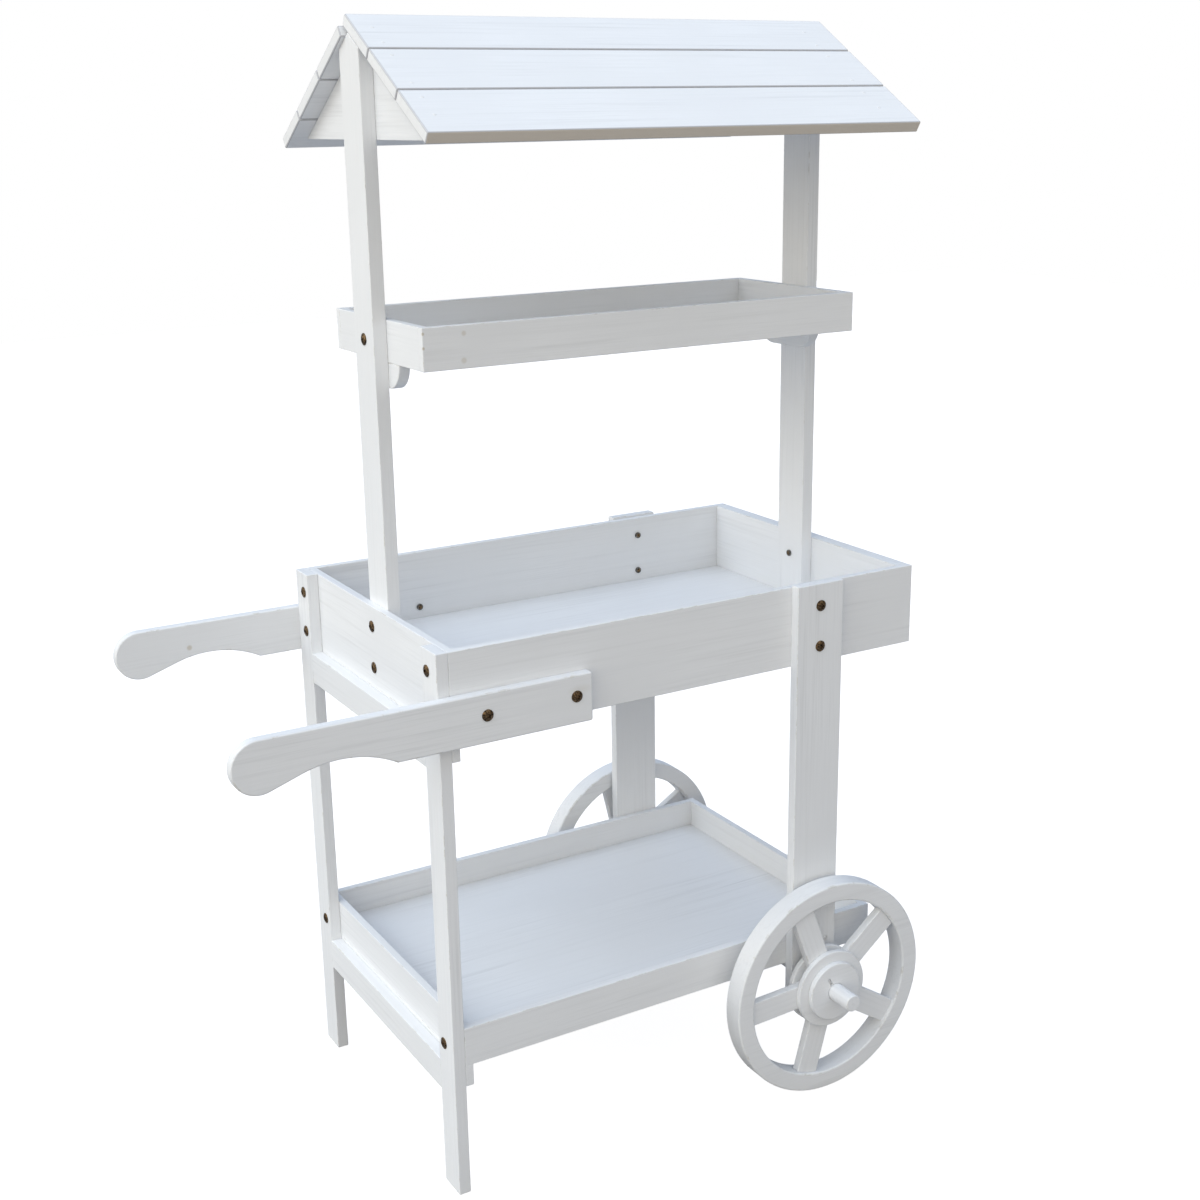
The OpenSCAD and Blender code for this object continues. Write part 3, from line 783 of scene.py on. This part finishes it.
def fastenerTree(name, driveSides, hasShank):
    # a domed head on every point, its foot on the surface and its shank along "aim"
    tree, enter, leave = newTree(name, {
        "Head radius": ("Float", 0.0075), "Head height": ("Float", 0.003), "Dome": ("Float", 0.002),
        "Shank radius": ("Float", 0.0034), "Shank length": ("Float", 0.03),
        "Drive radius": ("Float", 0.0029), "Drive depth": ("Float", 0.0018),
        "Seed": ("Int", 3), "Material": ("Material", None)})
    get = enter.outputs
    headR, headH, dome = get["Head radius"], get["Head height"], get["Dome"]
    head = rodNode(tree, fastenerFacets["head"], headR, headH, sumOf(tree, "MULTIPLY", headH, -0.5))
    # ball that rounds the head: its top is the head's top, and it meets the side lower down
    square = sumOf(tree, "ADD", sumOf(tree, "POWER", headR, 2.0), sumOf(tree, "POWER", dome, 2.0))
    ballR = sumOf(tree, "DIVIDE", square, sumOf(tree, "MULTIPLY", dome, 2.0))
    ball = tree.nodes.new("GeometryNodeMeshUVSphere")
    ball.inputs["Segments"].default_value = fastenerFacets["head"]
    ball.inputs["Rings"].default_value = fastenerFacets["rings"]
    tree.links.new(ballR, ball.inputs["Radius"])
    ballPlace = tree.nodes.new("ShaderNodeCombineXYZ")
    tree.links.new(sumOf(tree, "SUBTRACT", ballR, headH), ballPlace.inputs["Z"])
    ballMove = tree.nodes.new("GeometryNodeTransform")
    tree.links.new(ball.outputs["Mesh"], ballMove.inputs["Geometry"])
    tree.links.new(ballPlace.outputs["Vector"], ballMove.inputs["Translation"])
    head = cutNode(tree, "INTERSECT", head, ballMove.outputs["Geometry"])
    if driveSides:
        driveH = sumOf(tree, "MULTIPLY", get["Drive depth"], 2.0)
        driveZ = sumOf(tree, "MULTIPLY", headH, -1.0)
        socket = rodNode(tree, driveSides, get["Drive radius"], driveH, driveZ)
        head = cutNode(tree, "DIFFERENCE", head, socket)
    join = tree.nodes.new("GeometryNodeJoinGeometry")
    tree.links.new(head, join.inputs["Geometry"])
    if hasShank:
        length = get["Shank length"]
        shank = rodNode(tree, fastenerFacets["shank"], get["Shank radius"], length,
                        sumOf(tree, "MULTIPLY", length, 0.5))
        tree.links.new(shank, join.inputs["Geometry"])
    aim = tree.nodes.new("GeometryNodeInputNamedAttribute")
    aim.data_type = "FLOAT_VECTOR"
    aim.inputs["Name"].default_value = "aim"
    align = tree.nodes.new("FunctionNodeAlignRotationToVector")
    align.axis = "Z"
    tree.links.new(aim.outputs["Attribute"], align.inputs["Vector"])
    # each one was tightened to its own angle
    spin = tree.nodes.new("FunctionNodeRandomValue")
    spin.data_type = "FLOAT"
    low, high = [s for s in spin.inputs if s.type == "VALUE"][:2]
    low.default_value = 0.0
    high.default_value = 2 * math.pi
    tree.links.new(get["Seed"], spin.inputs["Seed"])
    about = tree.nodes.new("FunctionNodeAxisAngleToRotation")
    about.inputs["Axis"].default_value = (0, 0, 1)
    tree.links.new([s for s in spin.outputs if s.type == "VALUE"][0], about.inputs["Angle"])
    turn = tree.nodes.new("FunctionNodeRotateRotation")
    turn.rotation_space = "LOCAL"
    tree.links.new(align.outputs["Rotation"], turn.inputs["Rotation"])
    tree.links.new(about.outputs["Rotation"], turn.inputs["Rotate By"])
    spread = tree.nodes.new("GeometryNodeInstanceOnPoints")
    tree.links.new(get["Geometry"], spread.inputs["Points"])
    tree.links.new(join.outputs["Geometry"], spread.inputs["Instance"])
    tree.links.new(turn.outputs["Rotation"], spread.inputs["Rotation"])
    closeTree(tree, spread.outputs["Instances"], enter, leave)
    return tree


def spotPiece(name, spots):
    # points with the direction in which each shank goes
    mesh = bpy.data.meshes.new(name)
    mesh.from_pydata([place for place, aim in spots], [], [])
    aims = mesh.attributes.new("aim", "FLOAT_VECTOR", "POINT")
    for k, (place, aim) in enumerate(spots):
        aims.data[k].vector = aim
    return linkObject(name, mesh)


trayLow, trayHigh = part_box("main_tray_floor")
cartMid = (trayLow + trayHigh) / 2
boltTree = fastenerTree("hexBolt", 6, True)
nutTree = fastenerTree("sleeveNut", 32, False)
nailTree = fastenerTree("roundNail", 0, True)
screwTree = fastenerTree("panScrew", 4, True)

boltLook = {"Head height": 3.0 * mm, "Dome": 2.1 * mm, "Shank radius": 3.0 * mm,
            "Drive radius": 2.9 * mm, "Drive depth": 1.8 * mm, "Material": bronze}


def axisSpots(node, longAxis, headOut, headHeight):
    # where each fastener's head sits, from its solid in the frame
    spots, length, width = [], 0.0, 0.0
    for group in islandsOf(node):
        size, middle = sizeOf(group), middleOf(group)
        axis = (max if longAxis else min)(range(3), key=lambda k: size[k])
        outward = Vector((0, 0, 0))
        outward[axis] = 1 if middle[axis] > cartMid[axis] else -1
        toHead = outward if headOut else -outward
        spots.append((middle + toHead * (size[axis] / 2 - headHeight), -toHead))
        length = size[axis]
        width = max(size[k] for k in range(3) if k != axis)
    return spots, length, width


for node, seed in (("leg_bolts", 3), ("post_bolts", 5), ("shelf_bolts", 8), ("handle_bolts", 12),
                   ("wheel_leg_bolts", 17)):
    spots, length, width = axisSpots(node, True, True, boltLook["Head height"])
    sizes = {**boltLook, "Head radius": width / 2, "Seed": seed,
             "Shank length": length - boltLook["Head height"]}
    piece = runTree(spotPiece("bronze_" + node, spots), boltTree, sizes)
    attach(piece, "frame")
    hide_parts(node)

nutLook = {"Dome": 0.8 * mm, "Drive radius": 3.05 * mm, "Drive depth": 4.0 * mm, "Seed": 2,
           "Material": nutSteel}
spots, length, width = axisSpots("sleeve_nuts", False, False, 0.0)
nutSpots = [(place + aim * length, aim) for place, aim in spots]
piece = runTree(spotPiece("bronze_sleeve_nuts", nutSpots), nutTree,
                {**nutLook, "Head radius": width / 2, "Head height": length})
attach(piece, "frame")
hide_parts("sleeve_nuts")

screwLook = {"Head height": 1.5 * mm, "Dome": 0.9 * mm, "Shank radius": 2.0 * mm, "Drive radius": 1.6 * mm,
             "Drive depth": 0.8 * mm, "Seed": 21, "Material": paintedHead}
spots, length, width = axisSpots("lower_tray_screws", True, True, screwLook["Head height"])
piece = runTree(spotPiece("painted_lower_tray_screws", spots), screwTree,
                {**screwLook, "Head radius": width / 2, "Shank length": length - screwLook["Head height"]})
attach(piece, "frame")
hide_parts("lower_tray_screws")

nailLook = {"Head height": 0.5 * mm, "Dome": 0.3 * mm, "Shank radius": 1.0 * mm, "Seed": 4,
            "Material": paintedHead}


def slopeNormal(node):
    # the way the roof slope faces
    biggest = max(nodes[node].data.polygons, key=lambda f: f.area * (f.normal.z > 0.3))
    return biggest.normal.copy()


def nailSpots():
    spots, length, width = [], 0.0, 0.0
    for group in islandsOf("roof_nails"):
        side = "right" if middleOf(group).y < 0 else "left"
        up = slopeNormal(f"roof_plank_{side}_middle")
        reach = [p.dot(up) for p in group]
        top = [p for p, r in zip(group, reach) if r > max(reach) - 0.05 * mm]
        centre = sum(top, Vector((0, 0, 0))) / len(top)
        spots.append((centre - up * nailLook["Head height"], -up))
        length = max(reach) - min(reach)
        width = 2 * max((p - centre).length for p in top)
    return spots, length, width


spots, length, width = nailSpots()
piece = runTree(spotPiece("nails_roof", spots), nailTree,
                {**nailLook, "Head radius": width / 2, "Shank length": length - nailLook["Head height"]})
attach(piece, "frame")
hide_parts("roof_nails")
print("fasteners made")


def spokeTree():
    tree, enter, leave = newTree("spokeWheel", {
        "Spoke": ("Object", None), "Count": ("Int", 5), "Turn": ("Float", 0.0), "Axle": ("Vector", None),
        "Material": ("Material", None)})
    get = enter.outputs
    points = tree.nodes.new("GeometryNodePoints")
    tree.links.new(get["Count"], points.inputs["Count"])
    tree.links.new(get["Axle"], points.inputs["Position"])
    shape = tree.nodes.new("GeometryNodeObjectInfo")
    tree.links.new(get["Spoke"], shape.inputs["Object"])
    index = tree.nodes.new("GeometryNodeInputIndex")
    step = sumOf(tree, "DIVIDE", 2 * math.pi, get["Count"])
    angle = sumOf(tree, "ADD", sumOf(tree, "MULTIPLY", index.outputs["Index"], step), get["Turn"])
    around = tree.nodes.new("ShaderNodeCombineXYZ")
    tree.links.new(sumOf(tree, "MULTIPLY", angle, -1.0), around.inputs["Y"])
    spread = tree.nodes.new("GeometryNodeInstanceOnPoints")
    tree.links.new(points.outputs["Points"], spread.inputs["Points"])
    tree.links.new(shape.outputs["Geometry"], spread.inputs["Instance"])
    tree.links.new(around.outputs["Vector"], spread.inputs["Rotation"])
    real = tree.nodes.new("GeometryNodeRealizeInstances")
    coat = tree.nodes.new("GeometryNodeSetMaterial")
    tree.links.new(spread.outputs["Instances"], real.inputs["Geometry"])
    tree.links.new(real.outputs["Geometry"], coat.inputs["Geometry"])
    tree.links.new(get["Material"], coat.inputs["Material"])
    tree.links.new(coat.outputs["Geometry"], leave.inputs["Geometry"])
    return tree


def oneSpoke(node):
    # a flat spoke lying along +X, its outer end cut to the rim
    low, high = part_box(node)
    rimIn = radiiOf(node)[1]
    half = wheelCut["spokeWide"] / 2
    swing = math.degrees(math.asin(half / rimIn))
    outline = [(wheelCut["spokeIn"], -half)]
    outline += arcPoints((0, 0), rimIn, -swing, swing, 6)
    outline.append((wheelCut["spokeIn"], half))
    spoke = cutOut("spoke", outline, lambda u, v, depth: Vector((u, low.y + depth, v)), high.y - low.y,
                   wheelCut["spokeArris"])
    sawn = spoke.data.attributes.new("sawn", "FLOAT_VECTOR", "POINT")
    for k, vert in enumerate(spoke.data.vertices):
        sawn.data[k].vector = vert.co
    return spoke


wheelTree = spokeTree()
for side in ("right", "left"):
    node = f"wheel_{side}_spokes"
    spoke = oneSpoke(node)
    spoke.hide_render = True
    first = middleOf(islandsOf(node)[0]) - axleMid
    piece = linkObject("painted_" + node, bpy.data.meshes.new(node))
    runTree(piece, wheelTree, {"Spoke": spoke, "Count": 5, "Turn": math.atan2(first.z, first.x),
                               "Axle": axleMid, "Material": paintSawn})
    bpy.data.objects.remove(spoke)
    finishWood(piece, node, "wheel_" + side, paintSawn)
print("spokes made")


# ---- floor, light, camera ----

stageLook = {"size": 9.0, "colour": (0.34, 0.34, 0.35), "paper": 0.90}


def makeFloor():
    # white paper: bright to the eye, but it throws only part of its light back at the cart
    bm = bmesh.new()
    bmesh.ops.create_grid(bm, x_segments=2, y_segments=2, size=stageLook["size"])
    floor = linkObject("floor", meshOf(bm, "floor"))
    floor.location.z = -0.4 * mm
    material, tree, shader = newMaterial("pale_floor")
    shader.inputs["Base Color"].default_value = (*stageLook["colour"], 1.0)
    shader.inputs["Roughness"].default_value = 0.9
    shader.inputs["Specular IOR Level"].default_value = 0.0
    shader.inputs["Emission Color"].default_value = (1.0, 1.0, 1.0, 1.0)
    path = addNode(tree, "ShaderNodeLightPath")
    glow = calc(tree, "MULTIPLY", path.outputs["Is Camera Ray"], stageLook["paper"])
    wire(tree, glow, shader.inputs["Emission Strength"])
    floor.data.materials.append(material)


# each wide soft light fills half the sky and is brightest in its own direction
lightLook = {
    "softLights": (
        ((0, 0, 1), (0.78, 0.95, 1.22)),
        ((-1, 0, 0), (1.40, 1.26, 1.00)),
        ((0, -1, 0), (0.43, 0.34, 0.19)),
    ),
    "backdrop": (1.0, 1.0, 1.0),
    "sunColour": (0.75, 0.87, 1.0), "sunPower": 0.66, "sunSize": 40, "sunFrom": (-0.78, 0.0, 0.62),
}


def makeLight():
    world = bpy.data.worlds.new("studio")
    bpy.context.scene.world = world
    world.use_nodes = True
    tree = world.node_tree
    way = addNode(tree, "ShaderNodeTexCoord").outputs["Generated"]
    total = None
    for direction, colour in lightLook["softLights"]:
        facing = addNode(tree, "ShaderNodeVectorMath", operation="DOT_PRODUCT")
        facing.inputs[1].default_value = direction
        wire(tree, way, facing.inputs[0])
        tinted = addNode(tree, "ShaderNodeVectorMath", operation="SCALE")
        tinted.inputs[0].default_value = colour
        wire(tree, calc(tree, "MAXIMUM", facing.outputs["Value"], 0.0), tinted.inputs["Scale"])
        if total is None:
            total = tinted.outputs["Vector"]
            continue
        added = addNode(tree, "ShaderNodeVectorMath", operation="ADD")
        wire(tree, total, added.inputs[0])
        wire(tree, tinted.outputs["Vector"], added.inputs[1])
        total = added.outputs["Vector"]
    sky = tree.nodes["Background"]
    wire(tree, total, sky.inputs["Color"])
    card = addNode(tree, "ShaderNodeBackground")
    card.inputs["Color"].default_value = (*lightLook["backdrop"], 1.0)
    path = addNode(tree, "ShaderNodeLightPath")
    mixer = addNode(tree, "ShaderNodeMixShader")
    wire(tree, path.outputs["Is Camera Ray"], mixer.inputs["Fac"])
    wire(tree, sky.outputs["Background"], mixer.inputs[1])
    wire(tree, card.outputs["Background"], mixer.inputs[2])
    wire(tree, mixer.outputs["Shader"], tree.nodes["World Output"].inputs["Surface"])
    lamp = bpy.data.lights.new("softSun", "SUN")
    lamp.energy = lightLook["sunPower"]
    lamp.color = lightLook["sunColour"]
    lamp.angle = math.radians(lightLook["sunSize"])
    sun = bpy.data.objects.new("softSun", lamp)
    bpy.context.scene.collection.objects.link(sun)
    sun.rotation_mode = "QUATERNION"
    sun.rotation_quaternion = Vector(lightLook["sunFrom"]).to_track_quat("Z", "Y")


cameraLook = {"place": (-0.99088, -1.90980, 1.33384), "azimuth": -30.277, "elevation": 16.351, "roll": -0.931,
              "lens": 49.802}


def makeCamera():
    look = cameraLook
    side, rise, roll = (math.radians(look[k]) for k in ("azimuth", "elevation", "roll"))
    back = Vector((math.sin(side) * math.cos(rise), -math.cos(side) * math.cos(rise), math.sin(rise)))
    level = Vector((math.cos(side), math.sin(side), 0))
    upright = back.cross(level)
    right = math.cos(roll) * level + math.sin(roll) * upright
    up = -math.sin(roll) * level + math.cos(roll) * upright
    data = bpy.data.cameras.new("camera")
    data.lens = look["lens"]
    data.sensor_width = 36
    data.clip_start = 0.05
    data.clip_end = 50
    camera = bpy.data.objects.new("camera", data)
    bpy.context.scene.collection.objects.link(camera)
    turn = Matrix((right, up, back)).transposed().to_4x4()
    camera.matrix_world = Matrix.Translation(look["place"]) @ turn
    bpy.context.scene.camera = camera


makeFloor()
makeLight()
makeCamera()
bpy.context.scene.view_settings.view_transform = "Standard"
bpy.context.scene.view_settings.look = "None"
print("stage made")
